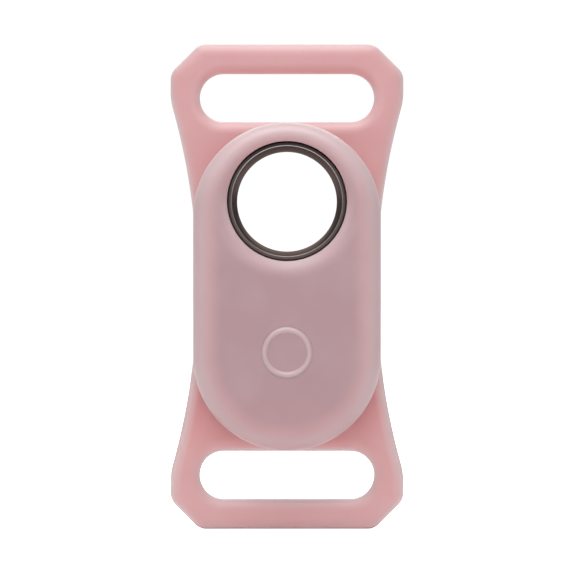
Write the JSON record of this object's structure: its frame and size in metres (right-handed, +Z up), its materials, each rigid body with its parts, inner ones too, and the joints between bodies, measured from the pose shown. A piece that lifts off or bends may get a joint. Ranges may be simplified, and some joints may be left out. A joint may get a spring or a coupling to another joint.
{
  "type": "tracker tag holder",
  "caption": "Soft strap-on sleeve with slotted wings that holds a pill-shaped tracker tag with a metal-lined ring hole, a press button and a twist battery door.",
  "frame": {"origin": "middle of the flat back plane, halfway between the two strap slots, where the strap runs", "axes": "+Z up along the strap towards the ring end, -Y out of the front face, +X to the right seen from the front"},
  "size_m": [0.0394, 0.0109, 0.082],
  "materials": {
    "silicone": "soft matt translucent pink silicone",
    "tag_plastic": "fine moulded grain, near black",
    "ring_metal": "dark gunmetal plating, satin",
    "seal_rubber": "black elastomer",
    "cell_metal": "bright drawn steel",
    "cradle_plastic": "natural white plastic",
    "contact_metal": "gold flashed spring metal",
    "board_laminate": "green solder mask",
    "chip_plastic": "moulded chip package",
    "dome_steel": "bright spring steel",
    "membrane_rubber": "grey elastomer",
    "sounder_brass": "plain rolled brass",
    "sounder_ceramic": "silvered ceramic",
    "shield_metal": "tinned sheet steel",
    "crystal_metal": "plated lid",
    "aerial_ceramic": "glazed ceramic block",
    "capacitor_ceramic": "ceramic with tinned ends"
  },
  "bodies": {
    "sleeve": {"sleeve_body": "silicone", "sleeve_rear_lip": "silicone"},
    "pad": {"press_pad": "silicone"},
    "button": {"button_cap": "tag_plastic"},
    "door": {"battery_door": "tag_plastic", "door_seal": "seal_rubber"},
    "tag": {"front_shell": "tag_plastic", "rear_shell": "tag_plastic", "hole_ring": "ring_metal", "ring_seal": "seal_rubber", "seam_seal": "seal_rubber", "coin_cell": "cell_metal", "battery_cradle": "cradle_plastic", "negative_contact": "contact_metal", "positive_contact": "contact_metal", "main_board": "board_laminate", "button_membrane": "membrane_rubber", "switch_base": "chip_plastic", "snap_dome": "dome_steel", "piezo_plate": "sounder_brass", "piezo_ceramic": "sounder_ceramic", "piezo_springs": "contact_metal", "shield_can": "shield_metal", "radio_chip": "chip_plastic", "chip_aerial": "aerial_ceramic", "motion_sensor": "chip_plastic", "crystal": "crystal_metal", "board_capacitors": "capacitor_ceramic"}
  },
  "joints": [
    {"name": "tag_out", "type": "slide", "parent": "sleeve", "child": "tag", "axis": [0, 1, 0], "range_m": [0, 0.012], "deforming": ["sleeve_rear_lip"]},
    {"name": "pad_press", "type": "slide", "parent": "sleeve", "child": "pad", "axis": [0, 1, 0], "range_m": [0, 0.0003], "stiffness_N_per_m": 4000},
    {"name": "button_press", "type": "slide", "parent": "tag", "child": "button", "axis": [0, 1, 0], "range_m": [0, 0.0003], "deforming": ["button_membrane", "snap_dome"]},
    {"name": "door_turn", "type": "hinge", "parent": "tag", "child": "door", "pos_m": [0, -0.0023, -0.011], "axis": [0, 1, 0], "range_deg": [0, 30]}
  ],
  "couplings": [
    {"joint": "button_press", "follows": "pad_press", "ratio": 1}
  ]
}
